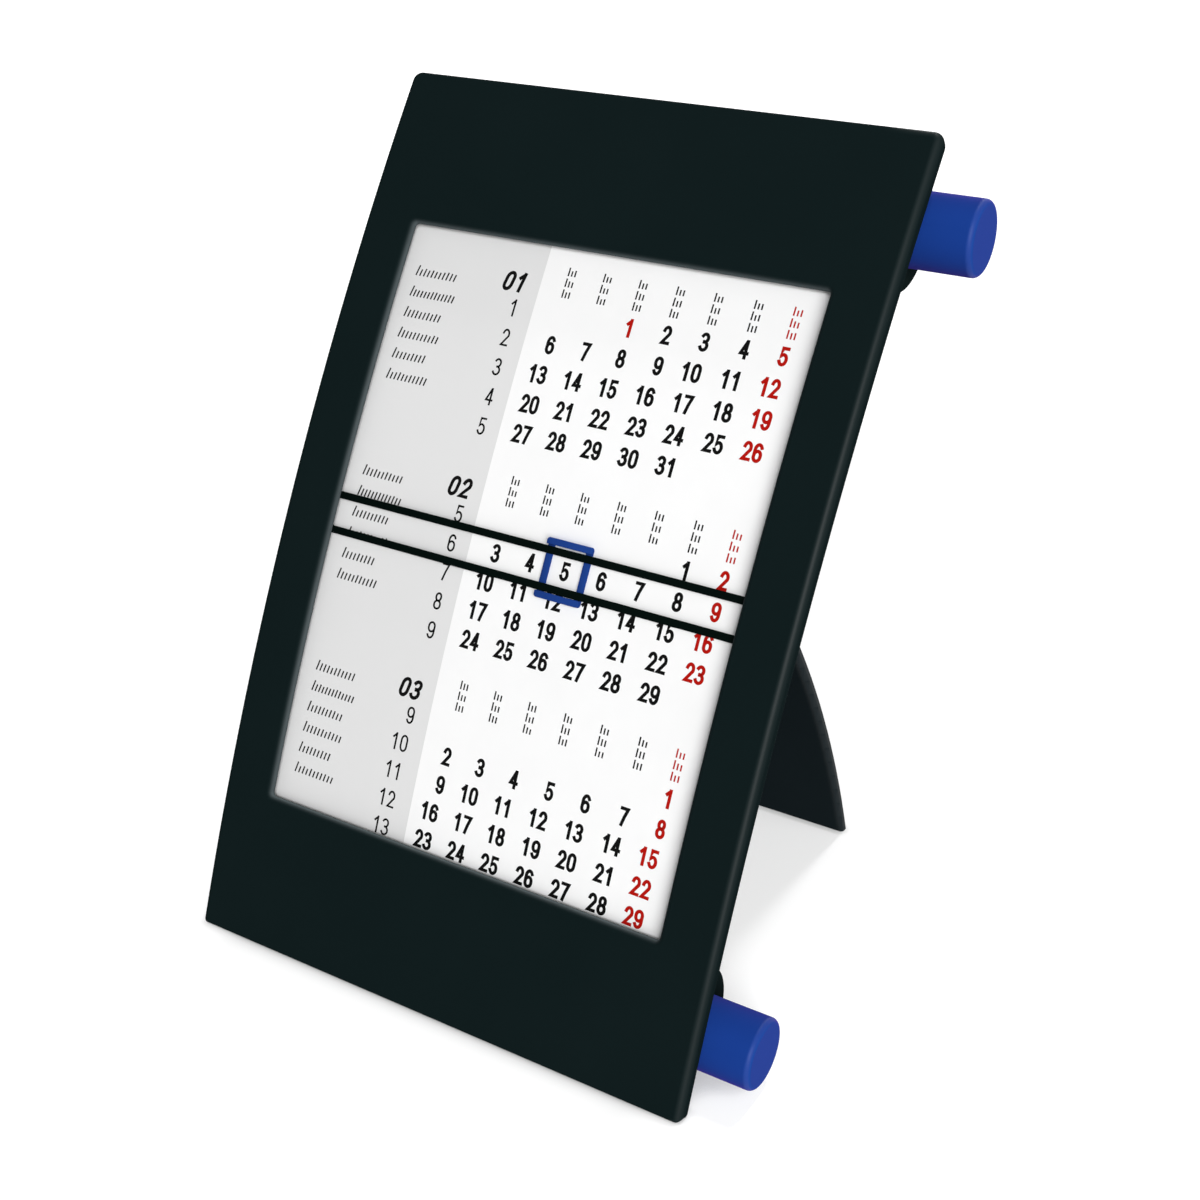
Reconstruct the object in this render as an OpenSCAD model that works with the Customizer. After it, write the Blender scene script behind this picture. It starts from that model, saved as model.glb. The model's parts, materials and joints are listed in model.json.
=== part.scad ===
// Three-month desk calendar: a bowed front panel with a window, a paper strip wound between
// two spools with finger knobs, a sliding date marker, and a leg that folds behind the panel.
// Origin: middle of the panel's bottom edge, on the table. +X right, +Y back, +Z up.

/* [Front panel] */
// Distance that the panel stands out past the housing at each side
panel_margin = 5.5; // [5:0.1:8]
// Height of the panel, measured along its bowed face
panel_h = 184; // [176:1:192]
// Thickness of the panel
panel_t = 4; // [3.6:0.1:4.2]
// Bend of the face from bottom to top, in degrees
panel_bend = 16; // [12:0.5:20]
// Lean of the middle of the face from the vertical, in degrees
panel_lean = 28.75; // [26:0.25:31]
// Radius along the panel's front edges
edge_r = 1.6; // [0.8:0.1:2]
// Radius along the panel's rear side edges
back_r = 0.9; // [0.4:0.1:1.2]
// Radius along the panel's foot, where the face meets the table
foot_r = 0.7; // [0.4:0.1:1.6]
// Radius of the panel's corners, seen from the front
corner_r = 1.2; // [0.8:0.1:3]

/* [Window] */
// Width of paper that the window's lip covers at each side
paper_lap = 2.75; // [2:0.05:3.2]
// Height of the window, measured along the face
window_h = 121; // [110:1:124]
// Radius of the window's corners
window_corner_r = 0.9; // [0.6:0.1:3]
// Thickness of the lip round the window
lip_t = 1.6; // [1.3:0.1:1.7]

/* [Housing] */
// Room beside the paper at each side
paper_room = 1.5; // [1:0.1:3]
// Depth of the housing's flat back behind the face
housing_depth = 12; // [11:0.5:12.5]
// Height that the panel stands past the housing at each end
housing_end = 4; // [3:0.5:5]
// Thickness of the housing's side walls
side_wall = 2; // [1.6:0.1:2.2]
// Thickness of the housing's back and end walls
back_wall = 1.5; // [1.2:0.1:1.8]
// Height that the side walls stand out past the housing's back and ends
wall_rim = 0.4; // [0.2:0.1:0.6]
// Radius of the round cheeks at the ends of the roll troughs
cheek_r = 11.7; // [10.5:0.1:12]
// Width of each rib that carries the platen
rib_w = 1.6; // [1.2:0.1:2.5]
// Distance of the outer ribs from the middle
rib_x = 32; // [20:1:38]
// Distance of the ribs' ends from the platen's ends
rib_inset = 1; // [0.5:0.1:3]

/* [Screws] */
// Distance of the screw tabs from the middle of the panel, along the face
tab_s = 47; // [35:1:55]
// Distance of the screws from the housing's side
screw_out = 1.8; // [1.8:0.1:2.2]
// Radius of a screw tab's round end
tab_r = 2.3; // [2:0.1:2.5]
// Thickness of a screw tab
tab_t = 2; // [1.5:0.1:3]
// Radius of a screw's thread
screw_r = 0.8; // [0.6:0.1:1]
// Length of a screw under its head
screw_l = 4.2; // [3.5:0.1:4.6]
// Radius of a screw's head
screw_head_r = 1.7; // [1.5:0.1:2]
// Height of a screw's head
screw_head_h = 1.2; // [0.8:0.1:1.6]

/* [Rolls] */
// Distance of each roll's axis from the panel's end, along the face
roll_s = 14.3; // [13.2:0.1:15]
// Depth of the rolls' axes behind the face
roll_depth = 11.5; // [11.2:0.1:11.7]
// Radius inside a roll trough
trough_r = 7; // [6.4:0.1:7.1]
// Thickness of a roll trough's wall
trough_wall = 1.4; // [1:0.1:1.5]
// Radius of a spool
spool_r = 3; // [2.6:0.1:3.4]
// Radius of the journal at a spool's left end
journal_r = 2; // [1.6:0.1:2.4]
// Width of the slot that grips the paper's end
spool_slot = 0.6; // [0.4:0.1:1]
// Outer radius of the wound paper
wound_r = 5.3; // [4.6:0.1:5.8]
// Thickness of a brake washer
brake_t = 0.8; // [0.5:0.1:1]
// Outer radius of a brake washer
brake_r = 5.6; // [5:0.1:6]

/* [Knobs] */
// Radius of a knob
knob_r = 7; // [6.5:0.1:7.1]
// Distance of a knob's end past the panel's side
knob_out = 9; // [6:0.5:12]
// Radius round a knob's outer end
knob_edge_r = 1.1; // [0.3:0.1:1.2]
// Thickness of a knob's outer wall and end
knob_wall = 1.6; // [1.2:0.1:2]
// Depth of a knob's end wall in front of its socket
knob_end_t = 3.5; // [2.5:0.1:4.5]

/* [Paper] */
// Width of the paper strip
paper_w = 97; // [85:0.5:110]
// Thickness of the paper strip
paper_t = 0.2; // [0.1:0.05:0.3]
// Depth of the paper's printed side behind the face
paper_depth = 3.2; // [3.2:0.05:3.5]
// Thickness of the platen behind the paper
platen_t = 1.5; // [1.2:0.1:2]
// Distance of the platen's ends from the ends of the panel, along the face
platen_s = 27; // [26:0.5:28]

/* [Date marker] */
// Height of the marker's middle on the face
marker_s = 91.7; // [60:0.1:125]
// Distance between the two bars' middles
bar_pitch = 7.2; // [6.5:0.1:8.5]
// Height of a bar
bar_h = 1.5; // [1.2:0.1:1.8]
// Thickness of a bar
bar_t = 0.6; // [0.4:0.05:0.6]
// Distance of the shoes behind the window's side edges
shoe_set = 1.6; // [0.4:0.1:1.8]
// Length of each shoe along the face
shoe_l = 16; // [12:0.5:18]
// Thickness of a shoe
shoe_t = 1.2; // [0.9:0.1:1.2]
// Travel of the marker from the window's middle to each end
marker_travel = 54; // [40:1:55]
// Length of the block that ends a shoe's travel
stop_l = 2; // [1:0.1:3]
// Distance of the day frame's middle to the right of the panel's middle
day_x = 8.2; // [-30:0.1:35]
// Play of the day frame up and down on the bars
day_gap = 0.4; // [0.2:0.05:0.6]
// Width of the day frame
day_w = 9.9; // [9:0.1:12]
// Width of the day frame's upright legs
day_leg_w = 1.5; // [1.2:0.1:2]
// Height of the day frame's rails above and below the bars
day_rail_h = 1.3; // [1:0.1:1.8]
// Thickness of the day frame's legs behind the bars
day_leg_t = 0.4; // [0.3:0.05:0.4]
// Radius of the day frame's outer corners
day_corner_r = 0.6; // [0.5:0.1:1.2]

/* [Leg] */
// Height of the leg's hinge on the face
hinge_s = 98; // [96:0.5:104]
// Depth of the hinge's axis behind the face
hinge_depth = 15.5; // [15.3:0.1:16.5]
// Distance of the foot from the origin
foot_y = 100.5; // [96:0.5:106]
// Distance of the leg's sides from the inside of the housing's side walls
leg_inset = 5; // [3.5:0.5:8]
// Thickness of the leg
leg_t = 2.6; // [2.2:0.1:3]
// Radius that the leg is bowed to
leg_bow_r = 290; // [240:10:400]
// Radius and bevel of the leg's side edges
leg_edge_r = 0.9; // [0.4:0.1:1]
// Radius of the hinge's barrel and lugs
barrel_r = 2.8; // [2.4:0.1:2.9]
// Radius of the hinge pin
pin_r = 1; // [0.8:0.1:1.3]
// Distance of each hinge lug from the leg's side
lug_inset = 16; // [12:1:24]
// Width of a hinge lug
lug_w = 8; // [5:0.5:12]
// Distance of the pin's ends inside the barrel's ends
pin_inset = 1; // [0.5:0.1:2]
// Height of the heel that stops the leg when it is open
heel_h = 2.4; // [1.5:0.1:2.4]

/* [Clearances] */
// Gap between pieces that slide past each other
slide_gap = 0.2; // [0.15:0.01:0.2]
// Gap round a shaft that turns in a hole
shaft_gap = 0.05; // [0.02:0.01:0.08]
// Gap between the paper and the platen
paper_gap = 0.05; // [0.02:0.01:0.1]
// Gap round a screw in its tab
screw_gap = 0.3; // [0.2:0.05:0.4]
// Gap at the leg's heel when it is open
heel_gap = 0.15; // [0.1:0.05:0.3]

/* [Hidden] */
$fn = 96;
over = 1;
room_x = paper_w / 2 + paper_room;
cheek_x = room_x + side_wall;
wall_x = cheek_x - side_wall / 2;
panel_w = 2 * (cheek_x + panel_margin);
window_w = paper_w - 2 * paper_lap;
leg_w = 2 * (room_x - leg_inset);
lug_x = leg_w / 2 - lug_inset;
face_r = panel_h / panel_bend * 180 / PI;
lean_foot = panel_lean - panel_bend / 2;
face_foot_y = -panel_t / cos(lean_foot) / 2;
bend_axis = [face_foot_y + face_r * cos(lean_foot), -face_r * sin(lean_foot)];

// Lean of the face at a height s along it
function lean_at(s) = lean_foot + panel_bend * s / panel_h;
// Point of the side view, as [y, z], at a height s along the face and a depth behind it
function spot(s, depth) = bend_axis + (face_r - depth) * [-cos(lean_at(s)), sin(lean_at(s))];
// Point where a line from a point touches a circle, passing it on the turned side
function touch(from, middle, r, turn) =
    let (way = middle - from, far = norm(way), a = atan2(way[1], way[0]) + turn * asin(r / far))
    from + sqrt(far * far - r * r) * [cos(a), sin(a)];

roll_heights = [roll_s, panel_h - roll_s];
knob_x = cheek_x + slide_gap;
knob_end_x = panel_w / 2 + knob_out;
socket_x = knob_end_x - knob_end_t;
brake_x = room_x - slide_gap / 2;
spool_left_x = -room_x + slide_gap;
platen_depth = paper_depth + paper_t + paper_gap;
platen_back = platen_depth + platen_t;
bar_depth = lip_t + slide_gap;
bar_back = bar_depth + bar_t;
shoe_in_x = window_w / 2 + shoe_set;
shoe_out_x = room_x - slide_gap;
room_s = [housing_end + back_wall, panel_h - housing_end - back_wall];
stop_s = marker_travel + shoe_l / 2 + slide_gap;
day_depth = bar_back + slide_gap;
day_inner_h = bar_pitch + bar_h + day_gap;
day_h = day_inner_h + 2 * day_rail_h;
tab_x = cheek_x + screw_out;
tab_heights = [panel_h / 2 - tab_s, panel_h / 2 + tab_s];
hinge = spot(hinge_s, hinge_depth);
foot = [foot_y, 0];
leg_way = (foot - hinge) / norm(foot - hinge);
leg_rise = sqrt(leg_bow_r * leg_bow_r - pow(norm(foot - hinge) / 2, 2));
leg_middle = (hinge + foot) / 2 + leg_rise * [leg_way[1], -leg_way[0]];
leg_top_a = atan2(hinge[1] - leg_middle[1], hinge[0] - leg_middle[0]);
leg_foot_a = atan2(foot[1] - leg_middle[1], foot[0] - leg_middle[0]);
barrel_x = (leg_w + leg_edge_r) / 2;
pin_x = barrel_x - pin_inset;

// Turns a section, drawn as radius by X, about an axis along X at a point of the side view
module sweep(axis, from_a, to_a) {
    translate([0, axis[0], axis[1]]) rotate([90, 0, 90]) rotate(from_a)
        rotate_extrude(angle = to_a - from_a, $fn = 720) children();
}

// Curved block between two heights on the face, two depths behind it and two places along X
module on_face(s, depth, x) {
    sweep(bend_axis, 180 - lean_at(s[1]), 180 - lean_at(s[0]))
        translate([face_r - depth[1], x[0]]) square([depth[1] - depth[0], x[1] - x[0]]);
}

// Side view of a curved layer between two heights on the face and two depths behind it
module layer(s, depth) {
    intersection() {
        translate(bend_axis) difference() {
            circle(face_r - depth[0], $fn = 720);
            circle(face_r - depth[1], $fn = 720);
        }
        polygon([bend_axis, spot(s[0], -face_r / 10), spot(s[1], -face_r / 10)]);
    }
}

// Carries a side view, drawn as Y by Z, along X
module across(x) {
    translate([x[0], 0, 0]) rotate([90, 0, 90]) linear_extrude(x[1] - x[0]) children();
}

// Places a piece on the face: its X stays, its Y runs into the panel and its Z up the face
module at_face(s, depth = 0, x = 0) {
    translate([x, spot(s, depth)[0], spot(s, depth)[1]]) rotate([-lean_at(s), 0, 0]) children();
}

// Carries an outline, drawn across by up the face, into the panel between two depths
module into(depth) {
    translate([0, depth[1], 0]) rotate([90, 0, 0]) linear_extrude(depth[1] - depth[0]) children();
}

// Round bar along X through a point of the side view
module rod(at, r, x) {
    translate([x[0], at[0], at[1]]) rotate([0, 90, 0]) cylinder(r = r, h = x[1] - x[0]);
}

// Rectangle about its middle with round corners
module soft_rect(size, r) {
    square([size[0] - 2 * r, size[1]], center = true);
    square([size[0], size[1] - 2 * r], center = true);
    for (i = [-1, 1], k = [-1, 1])
        translate([i * (size[0] / 2 - r), k * (size[1] / 2 - r)]) circle(r);
}

// Everything below the table
module below_table() {
    translate([-panel_w, -panel_h, -panel_h]) cube([2 * panel_w, 3 * panel_h, panel_h]);
}

module front_frame() {
    half = panel_w / 2;
    top = panel_h;
    window_rise = 2 * face_r * sin(window_h / face_r * 90 / PI);
    color("#121e1e") difference() {
        sweep(bend_axis, 180 - lean_at(top), 180 - lean_at(-over * 2)) panel_section();
        at_face(panel_h / 2) into([-panel_h / 8, panel_h / 8])
            soft_rect([window_w, window_rise], window_corner_r);
        difference() {
            on_face(room_s, [lip_t, panel_t + over], [-room_x, room_x]);
            for (side = [-1, 1], end = [-1, 1]) marker_stop(side, end);
        }
        top_edge_round();
        foot_edge_round();
        for (side = [-1, 1]) {
            at_face(top) into([-over, panel_t + over]) corner_round(side, 1);
            at_face(0) into([-over, panel_t + over]) corner_round(side, -1);
        }
        each_tab() into([tab_t + panel_t - screw_l, panel_t + over]) circle(screw_r);
        below_table();
    }

    // The panel's section, as radius by X, with round edges in front and smaller ones behind
    module panel_section() {
        back = face_r - panel_t;
        translate([back, -half + back_r]) square([panel_t / 2, panel_w - 2 * back_r]);
        translate([back + back_r, -half]) square([panel_t - edge_r - back_r, panel_w]);
        translate([back + panel_t / 2, -half + edge_r]) square([panel_t / 2, panel_w - 2 * edge_r]);
        for (side = [-1, 1]) {
            translate([face_r - edge_r, side * (half - edge_r)]) circle(edge_r);
            translate([back + back_r, side * (half - back_r)]) circle(back_r);
        }
    }

    // Block behind the lip that ends the travel of a shoe
    module marker_stop(side, end) {
        s = panel_h / 2 + end * stop_s;
        on_face(end > 0 ? [s, s + stop_l] : [s - stop_l, s], [0, bar_depth + shoe_t / 2],
            side > 0 ? [shoe_in_x, panel_w / 2] : [-panel_w / 2, -shoe_in_x]);
    }

    module top_edge_round() {
        at_face(top) across([-half - over, half + over]) difference() {
            translate([-over, -edge_r]) square([edge_r + over, edge_r + over]);
            translate([edge_r, -edge_r]) circle(edge_r);
        }
    }

    // Rounds the sharp edge where the leaning face meets the table
    module foot_edge_round() {
        run = foot_r / tan((90 - lean_foot) / 2);
        up = [sin(lean_foot), cos(lean_foot)];
        front = [-cos(lean_foot), sin(lean_foot)];
        corner = [face_foot_y, 0];
        across([-half - over, half + over]) difference() {
            polygon([
                corner + [-over, -over], corner + [run, -over], corner + [run, foot_r],
                corner + run * up, corner + run * up + over * front
            ]);
            translate(corner + [run, foot_r]) circle(foot_r);
        }
    }

    // Rounds one corner; the round crosses the panel's sides at a slight angle
    module corner_round(side, end) {
        inset = corner_r * 0.96;
        size = inset + over;
        difference() {
            translate([side * (half - inset + size / 2), end * (size / 2 - inset)]) square(size, center = true);
            translate([side * (half - inset), -end * inset]) circle(corner_r);
        }
    }
}

// Places a piece at each screw tab, on both sides of the housing
module each_tab() {
    for (s = tab_heights, side = [-1, 1]) at_face(s, 0, side * tab_x) children();
}

module rear_housing() {
    rib_s = platen_s + rib_inset;
    color("#14191b") difference() {
        union() {
            across([-wall_x, wall_x]) outline(0, trough_r + trough_wall);
            for (side = [-1, 1]) {
                across(side > 0 ? [room_x, cheek_x] : [-cheek_x, -room_x]) outline(wall_rim, cheek_r);
                lug(side * lug_x);
                for (s = tab_heights) at_face(s, 0, side * tab_x) tab(side);
            }
        }
        difference() {
            across([-room_x, room_x]) {
                layer(room_s, [0, housing_depth - back_wall]);
                for (s = roll_heights) translate(spot(s, roll_depth)) circle(trough_r);
            }
            for (x = [-rib_x, 0, rib_x]) across([x - rib_w / 2, x + rib_w / 2])
                layer([rib_s, panel_h - rib_s], [platen_back, housing_depth]);
        }
        for (s = roll_heights) {
            rod(spot(s, roll_depth), spool_r + shaft_gap, [0, cheek_x + over]);
            rod(spot(s, roll_depth), journal_r + shaft_gap, [-cheek_x - over, 0]);
        }
        rod(hinge, pin_r + shaft_gap, [-room_x, room_x]);
        each_tab() into([0, panel_t + tab_t + over]) circle(screw_r + screw_gap);
        across([-panel_w, panel_w]) layer([-panel_h / 4, panel_h * 5 / 4], [-panel_t, panel_t]);
        below_table();
    }

    // Side view of the body or a side wall: a curved back with a round about each roll
    module outline(rim, round_r) {
        layer([housing_end - rim, panel_h - housing_end + rim], [0, housing_depth + rim]);
        for (s = roll_heights) translate(spot(s, roll_depth)) circle(round_r);
    }

    // Round-ended lug that carries the leg's pin
    module lug(x) {
        across([x - lug_w / 2, x + lug_w / 2]) translate(hinge) rotate(-lean_at(hinge_s)) {
            circle(barrel_r);
            translate([housing_depth - hinge_depth - back_wall / 2, -barrel_r])
                square([hinge_depth - housing_depth + back_wall / 2, 2 * barrel_r]);
        }
    }

    // Round-ended tab for one screw, rooted in the side wall
    module tab(side) {
        root = tab_x - wall_x;
        into([panel_t - over, panel_t + tab_t]) {
            circle(tab_r);
            translate([-side * root / 2, 0]) square([root, 2 * tab_r], center = true);
        }
    }
}

module housing_screws() {
    seat = panel_t + tab_t;
    color("#8d9093") each_tab() {
        into([seat - screw_l, seat + screw_head_h / 2]) circle(screw_r);
        into([seat + paper_gap, seat + screw_head_h]) circle(screw_head_r);
    }
}

module paper_platen() {
    half = room_x - slide_gap;
    nose_r = platen_t / 2 - paper_gap;
    ends = [platen_s, panel_h - platen_s];
    color("#33383a") union() {
        on_face(ends, [platen_depth, platen_back], [-half, half]);
        for (s = ends) rod(spot(s, platen_depth + platen_t / 2), nose_r, [-paper_w / 2, paper_w / 2]);
    }
}

module calendar_strip() {
    half = paper_w / 2;
    ends = [platen_s, panel_h - platen_s];
    color("#f4f4f4") union() {
        on_face(ends, [paper_depth, paper_depth + paper_t], [-half, half]);
        for (i = [0, 1]) run_in(ends[i], roll_heights[i], i == 0 ? -1 : 1);
    }

    // Straight run from the platen's end to the front of a roll
    module run_in(s, roll_height, turn) {
        from = spot(s, paper_depth + paper_t / 2);
        to = touch(from, spot(roll_height, roll_depth), wound_r + slide_gap + paper_t / 2, turn);
        way = (to - from) / norm(to - from);
        side = [way[1], -way[0]] * paper_t / 2;
        across([-half, half]) polygon([from - side - way * paper_t, from + side - way * paper_t, to + side, to - side]);
    }
}

module paper_roll(s) {
    middle = spot(s, roll_depth);
    color("#ececea") difference() {
        rod(middle, wound_r, [-paper_w / 2, paper_w / 2]);
        rod(middle, spool_r, [-paper_w / 2 - over, paper_w / 2 + over]);
    }
}

module upper_paper_roll() paper_roll(roll_heights[1]);

module lower_paper_roll() paper_roll(roll_heights[0]);

module spool(s) {
    middle = spot(s, roll_depth);
    color("#2a2e30") difference() {
        union() {
            rod(middle, spool_r, [spool_left_x, socket_x]);
            rod(middle, journal_r, [-cheek_x, spool_left_x + over]);
        }
        at_face(s, roll_depth) translate([-paper_w / 2, -2 * spool_r, -spool_slot / 2])
            cube([paper_w, 4 * spool_r, spool_slot]);
    }
}

module upper_spool() spool(roll_heights[1]);

module lower_spool() spool(roll_heights[0]);

// Plain round knob, cored from behind round a hub that takes the spool's end
module knob(s) {
    hub_r = spool_r + knob_wall;
    length = knob_end_x - knob_x;
    color("#19419a") translate([knob_x, spot(s, roll_depth)[0], spot(s, roll_depth)[1]]) rotate([0, 90, 0])
        rotate_extrude() difference() {
            union() {
                square([knob_r, length - knob_edge_r]);
                square([knob_r - knob_edge_r, length]);
                translate([knob_r - knob_edge_r, length - knob_edge_r]) circle(knob_edge_r);
            }
            translate([-knob_r, -knob_r]) square([knob_r, 3 * knob_r + length]);
            translate([0, -over]) square([spool_r, socket_x - knob_x + over]);
            if (knob_r - knob_wall > hub_r + slide_gap)
                translate([hub_r, -over]) square([knob_r - knob_wall - hub_r, length - knob_wall + over]);
        }
}

module upper_knob() knob(roll_heights[1]);

module lower_knob() knob(roll_heights[0]);

module brake_washer(s) {
    color("#3a3a3a") difference() {
        rod(spot(s, roll_depth), brake_r, [brake_x - brake_t, brake_x]);
        rod(spot(s, roll_depth), spool_r, [0, cheek_x]);
    }
}

module upper_brake_washer() brake_washer(roll_heights[1]);

module lower_brake_washer() brake_washer(roll_heights[0]);

// Bar across the window, whose ends sit in the shoes, from a depth behind the face
module date_bar(way, from = bar_depth) {
    s = marker_s + way * bar_pitch / 2;
    x = (shoe_in_x + 2 * shoe_out_x) / 3;
    on_face([s - bar_h / 2, s + bar_h / 2], [from, bar_back], [-x, x]);
}

module upper_date_bar() color("#0c1213") date_bar(1);

module lower_date_bar() color("#0c1213") date_bar(-1);

// Shoe that runs behind the window's lip and joins the two bars' ends
module slide_shoe(side) {
    x = side > 0 ? [shoe_in_x, shoe_out_x] : [-shoe_out_x, -shoe_in_x];
    color("#1b2224") difference() {
        on_face([marker_s - shoe_l / 2, marker_s + shoe_l / 2], [bar_depth, bar_depth + shoe_t], x);
        for (way = [-1, 1]) date_bar(way, bar_depth - over);
    }
}

module left_slide_shoe() slide_shoe(-1);

module right_slide_shoe() slide_shoe(1);

// Marker round one day: rails outside the bars, joined by thin legs behind them
module day_frame() {
    opening = [day_w - 2 * day_leg_w, day_inner_h];
    color("#1f49a3") at_face(marker_s + day_gap / 4, 0, day_x) {
        into([day_depth, day_depth + day_leg_t]) difference() {
            soft_rect([day_w, day_h], day_corner_r);
            square(opening, center = true);
        }
        into([bar_depth, day_depth + day_leg_t]) difference() {
            soft_rect([day_w, day_h], day_corner_r);
            square([day_w + over, day_inner_h], center = true);
        }
    }
}

module stand_leg() {
    heel_x = leg_w / 2 - 2 * leg_edge_r;
    gap_w = lug_w + 2 * slide_gap;
    color("#161a20") difference() {
        union() {
            sweep(leg_middle, leg_foot_a - 1, leg_top_a) translate([leg_bow_r, 0]) leg_section();
            rod(hinge, barrel_r, [-barrel_x, barrel_x]);
            at_face(hinge_s, hinge_depth) translate([-heel_x, housing_depth - hinge_depth + heel_gap, 0])
                cube([2 * heel_x, hinge_depth - housing_depth - heel_gap, heel_h]);
        }
        for (side = [-1, 1]) lug_gap(side * lug_x);
        rod(hinge, pin_r, [-barrel_x - over, barrel_x + over]);
        below_table();
    }

    // The leg's section, as radius by X: round edges in front and bevelled ones behind
    module leg_section() {
        half = leg_w / 2;
        rear = leg_t / 2;
        soft = half - leg_edge_r;
        flat = rear - leg_edge_r;
        polygon([
            [-rear, -soft], [-flat, -half], [flat, -half], [rear, -soft],
            [rear, soft], [flat, half], [-flat, half], [-rear, soft]
        ]);
        for (side = [-1, 1]) translate([-flat, side * soft]) circle(leg_edge_r);
    }

    // Room for one of the housing's lugs, which the leg's top edge swings past
    module lug_gap(x) {
        lug_reach = norm([hinge_depth - housing_depth, barrel_r]);
        rod(hinge, lug_reach + slide_gap, [x - gap_w / 2, x + gap_w / 2]);
    }
}

module leg_hinge_pin() color("#b4b7ba") rod(hinge, pin_r, [-pin_x, pin_x]);

front_frame();
rear_housing();
housing_screws();
paper_platen();
calendar_strip();
upper_paper_roll();
lower_paper_roll();
upper_spool();
lower_spool();
upper_knob();
lower_knob();
upper_brake_washer();
lower_brake_washer();
upper_date_bar();
lower_date_bar();
left_slide_shoe();
right_slide_shoe();
day_frame();
stand_leg();
leg_hinge_pin();
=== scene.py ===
import json
import math

import bmesh
import bpy
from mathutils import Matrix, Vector


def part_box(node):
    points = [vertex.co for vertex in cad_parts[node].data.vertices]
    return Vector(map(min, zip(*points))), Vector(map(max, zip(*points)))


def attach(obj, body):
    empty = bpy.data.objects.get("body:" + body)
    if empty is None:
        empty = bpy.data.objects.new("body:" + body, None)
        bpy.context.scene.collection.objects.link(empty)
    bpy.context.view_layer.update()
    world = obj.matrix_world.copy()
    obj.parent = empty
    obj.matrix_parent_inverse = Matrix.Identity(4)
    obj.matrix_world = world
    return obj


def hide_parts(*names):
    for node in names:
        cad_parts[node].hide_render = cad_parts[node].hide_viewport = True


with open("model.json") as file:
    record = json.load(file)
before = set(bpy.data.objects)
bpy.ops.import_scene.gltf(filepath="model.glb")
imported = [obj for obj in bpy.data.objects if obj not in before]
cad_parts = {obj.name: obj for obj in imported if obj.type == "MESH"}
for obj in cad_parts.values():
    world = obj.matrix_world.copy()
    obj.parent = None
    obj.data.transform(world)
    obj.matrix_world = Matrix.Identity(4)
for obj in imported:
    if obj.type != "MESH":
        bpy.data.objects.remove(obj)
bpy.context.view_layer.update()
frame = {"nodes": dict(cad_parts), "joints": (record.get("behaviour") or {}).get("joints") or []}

# Front frame: one injection moulding in matt greenish-black plastic, bowed like a slice of a wide
# drum. Its edges and the lip round the window are rounded. The lip's rounding is painted paler, a
# painted reflection of the white paper beside it, and hands that turn the knobs have polished the
# edge beside them. A pocket behind the lip holds the paper and the slides.
mm = 0.001
bend = next(joint for joint in frame["joints"] if joint["name"] == "date_marker_slide")
axis_y, axis_z = bend["pos_m"][1:]
frame_points = [vertex.co for vertex in frame["nodes"]["front_frame"].data.vertices]
frame_reach = [math.hypot(p.y - axis_y, p.z - axis_z) for p in frame_points]
face_r = max(frame_reach)
panel_t = face_r - min(frame_reach)
foot_lean = math.asin(-axis_z / face_r)
top_lean = max(math.atan2(p.z - axis_z, axis_y - p.y) for p in frame_points)
panel_h = face_r * (top_lean - foot_lean)
panel_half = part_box("front_frame")[1].x
edge_r = 1.6 * mm
foot_r = 0.7 * mm
corner_r = 1.2 * mm
top_corner_r = 2.1 * mm
least_corner_r = 0.6 * mm
back_r = 1.5 * mm
back_corner_r = 2.4 * mm
back_foot_r = 0.1 * mm
window_half = 45.75 * mm
window_h = 121 * mm
window_corner_r = 0.9 * mm
window_low = (panel_h - window_h) / 2
window_high = (panel_h + window_h) / 2
lip_r = 1.0 * mm
lip_t = 1.6 * mm
lip_shade = 0.15 * mm
rub_reach = 3 * mm
rub_scale = 1.3
smooth_angle = math.radians(35)
pocket_half = 50 * mm
pocket_end = 5.5 * mm
foot_reach = 25 * mm


def face_point(x, s, depth):
    """Point at a place across and up the bowed face, and at a depth behind it."""
    lean = foot_lean + s / face_r
    r = face_r - depth
    return Vector((x, axis_y - r * math.cos(lean), axis_z + r * math.sin(lean)))


def table_rise(depth):
    """Height up the face at which the table cuts the panel at a depth."""
    return face_r * (math.asin(face_r * math.sin(foot_lean) / (face_r - depth)) - foot_lean)


def between(start, end, share):
    return start + (end - start) * share


def soft_loop(half, low, high, r, depth, foot_corner_r):
    """Rectangle with round corners on the face, whose foot is cut level with the table."""
    corner_steps = 8
    side_steps = {0: 44, 1: 12, 2: 44, 3: 12}
    f = foot_corner_r
    corners = [
        (half - f, low + f, f), (half - r, high - r, r), (r - half, high - r, r), (f - half, low + f, f)]
    flat = []
    for turn, (x, s, corner) in enumerate(corners):
        for step in range(corner_steps + 1):
            a = math.radians(90 * (turn - 1 + step / corner_steps))
            flat.append((x + corner * math.cos(a), s + corner * math.sin(a)))
        x0, s0 = flat[-1]
        next_x, next_s, corner = corners[(turn + 1) % 4]
        a = math.radians(90 * turn)
        x1, s1 = next_x + corner * math.cos(a), next_s + corner * math.sin(a)
        for step in range(1, side_steps[turn]):
            t = step / side_steps[turn]
            flat.append((x0 + (x1 - x0) * t, s0 + (s1 - s0) * t))
    rise = table_rise(depth)
    return [face_point(x, s + rise * max(0, 1 - s / foot_reach), depth) for x, s in flat]


def loft(mesh, loops, ring=False):
    """Joins closed loops of points into a skin that runs into itself or is capped at both ends."""
    rows = [[mesh.verts.new(point) for point in loop] for loop in loops]
    pairs = list(zip(rows, rows[1:]))
    if ring:
        pairs.append((rows[-1], rows[0]))
    for a, b in pairs:
        for i in range(len(a)):
            k = (i + 1) % len(a)
            mesh.faces.new((a[i], a[k], b[k], b[i]))
    if not ring:
        mesh.faces.new(rows[0][::-1])
        mesh.faces.new(rows[-1])
    return rows


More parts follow.
